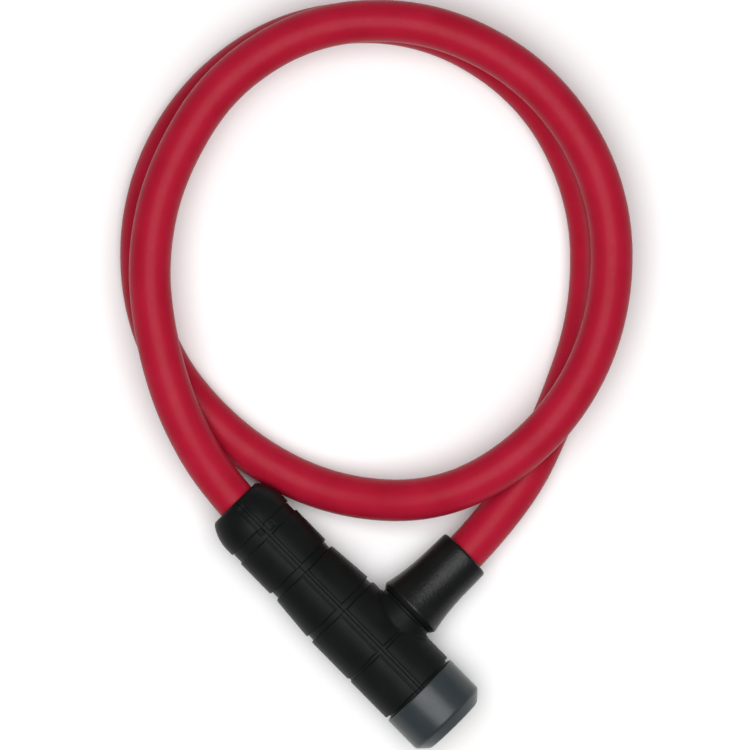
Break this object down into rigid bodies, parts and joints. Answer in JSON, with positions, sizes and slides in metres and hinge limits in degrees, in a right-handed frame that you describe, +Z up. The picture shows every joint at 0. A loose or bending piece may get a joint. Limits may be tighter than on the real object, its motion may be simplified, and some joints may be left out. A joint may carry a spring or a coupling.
{
  "type": "keyed cable lock",
  "caption": "Coiled cable lock: a covered wire rope between a key-operated lock body and a plug whose bolt enters the body's side.",
  "frame": {"origin": "on the surface the lock lies on, below the middle of the lock body (its casing and cap, without the cable and plug)", "axes": "+X along the lock body from the cable end to the key end, +Y to the side the bolt goes in, +Z up"},
  "size_m": [0.1854, 0.1636, 0.0252],
  "materials": {
    "casing": "soft-touch satin moulding",
    "cap": "satin slate grey paint on metal",
    "sleeve": "smooth satin moulding",
    "sheath": "satin red PVC cable covering",
    "rope": "galvanised wire rope",
    "die_cast": "as-cast zinc, satin",
    "hard_steel": "nickel-plated steel",
    "brass": "machined brass",
    "seal": "black rubber"
  },
  "bodies": {
    "lock_body": {"casing_plain_half": "casing", "casing_bolt_half": "casing", "end_cap": "cap", "lock_housing": "die_cast", "bolt_seal": "seal", "latch_spring": "hard_steel", "key_barrel": "hard_steel", "barrel_pin": "hard_steel", "body_ferrule": "hard_steel", "anchor_pin": "hard_steel", "cable_sheath": "sheath", "cable_core": "rope"},
    "key_rotor": {"key_rotor": "brass", "wafers": "brass", "wafer_springs": "hard_steel", "rotor_clip": "hard_steel"},
    "latch": {"latch_plate": "hard_steel"},
    "plug": {"plug_sleeve": "sleeve", "locking_bolt": "hard_steel", "plug_ferrule": "hard_steel", "plug_pin": "hard_steel"}
  },
  "joints": [
    {"name": "key_turn", "type": "hinge", "parent": "lock_body", "child": "key_rotor", "pos_m": [0.033, -0.00078, 0.0124], "axis": [1, 0, 0], "range_deg": [0, 90]},
    {"name": "latch_slide", "type": "slide", "parent": "lock_body", "child": "latch", "axis": [0, 0.0698, 0.9976], "range_m": [0, 0.00212], "deforming": ["latch_spring"]},
    {"name": "plug_slide", "type": "slide", "parent": "lock_body", "child": "plug", "axis": [0, 0.9976, -0.0698], "range_m": [0, 0.019], "deforming": ["cable_sheath", "cable_core"]}
  ],
  "couplings": [
    {"joint": "key_turn", "follows": "latch_slide", "rad_per_m": 740.48}
  ]
}
